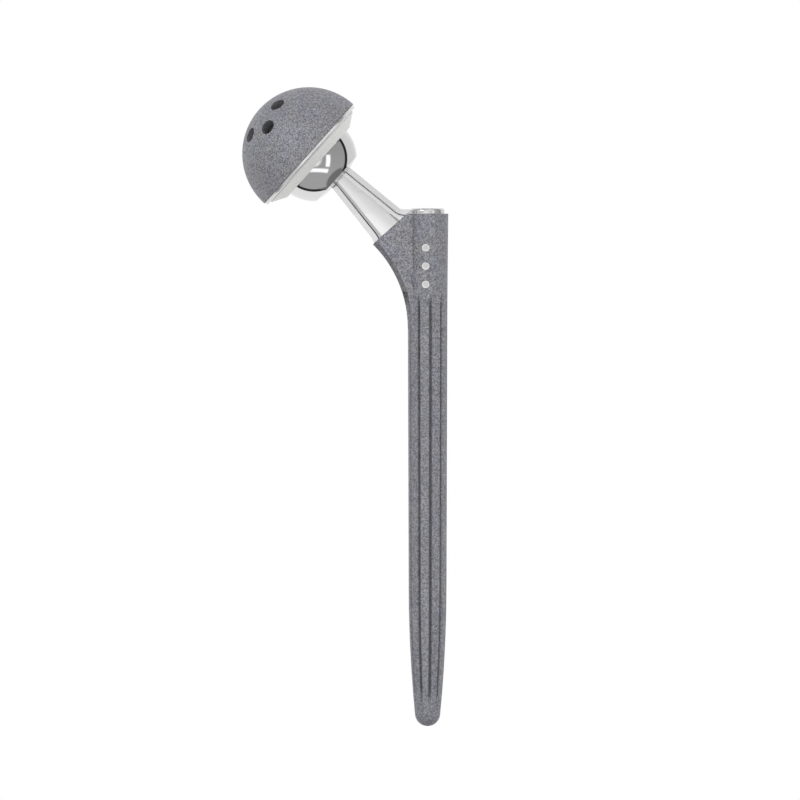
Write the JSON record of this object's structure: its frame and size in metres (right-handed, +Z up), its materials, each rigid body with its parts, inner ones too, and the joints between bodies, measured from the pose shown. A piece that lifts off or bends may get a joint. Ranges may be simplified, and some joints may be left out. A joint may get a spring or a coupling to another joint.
{
  "type": "total hip implant",
  "caption": "Hip replacement set: grit-blasted cup shell with a plastic liner, polished ball head on a tapered neck, and a long straight stem with lengthwise flutes and a rounded tip.",
  "frame": {"origin": "hip centre of rotation, the centre of the ball head", "axes": "+Z up along the stem's shaft, +X from the cup out to the shaft, +Y to the back"},
  "size_m": [0.0866, 0.056, 0.2683],
  "materials": {
    "blasted_titanium": "grit-blasted titanium, matte grey; neck, shelf, boss and lip polished",
    "shell_titanium": "grit-blasted titanium, matte grey; lip polished",
    "polished_cobalt_chrome": "mirror polished",
    "white_polyethylene": "machined, satin white"
  },
  "bodies": {
    "cup": {"acetabular_shell": "shell_titanium", "polyethylene_liner": "white_polyethylene"},
    "head": {"femoral_head": "polished_cobalt_chrome"},
    "stem": {"femoral_stem": "blasted_titanium"}
  },
  "joints": [
    {"name": "hip_flexion", "type": "hinge", "parent": "cup", "child": "head", "pos_m": [0, 0, 0], "axis": [-1, 0, 0], "range_deg": [-25, 95]},
    {"name": "hip_rotation", "type": "hinge", "parent": "head", "child": "stem", "pos_m": [0, 0, 0], "axis": [0.7431, 0, -0.6691], "range_deg": [-35, 35]}
  ]
}
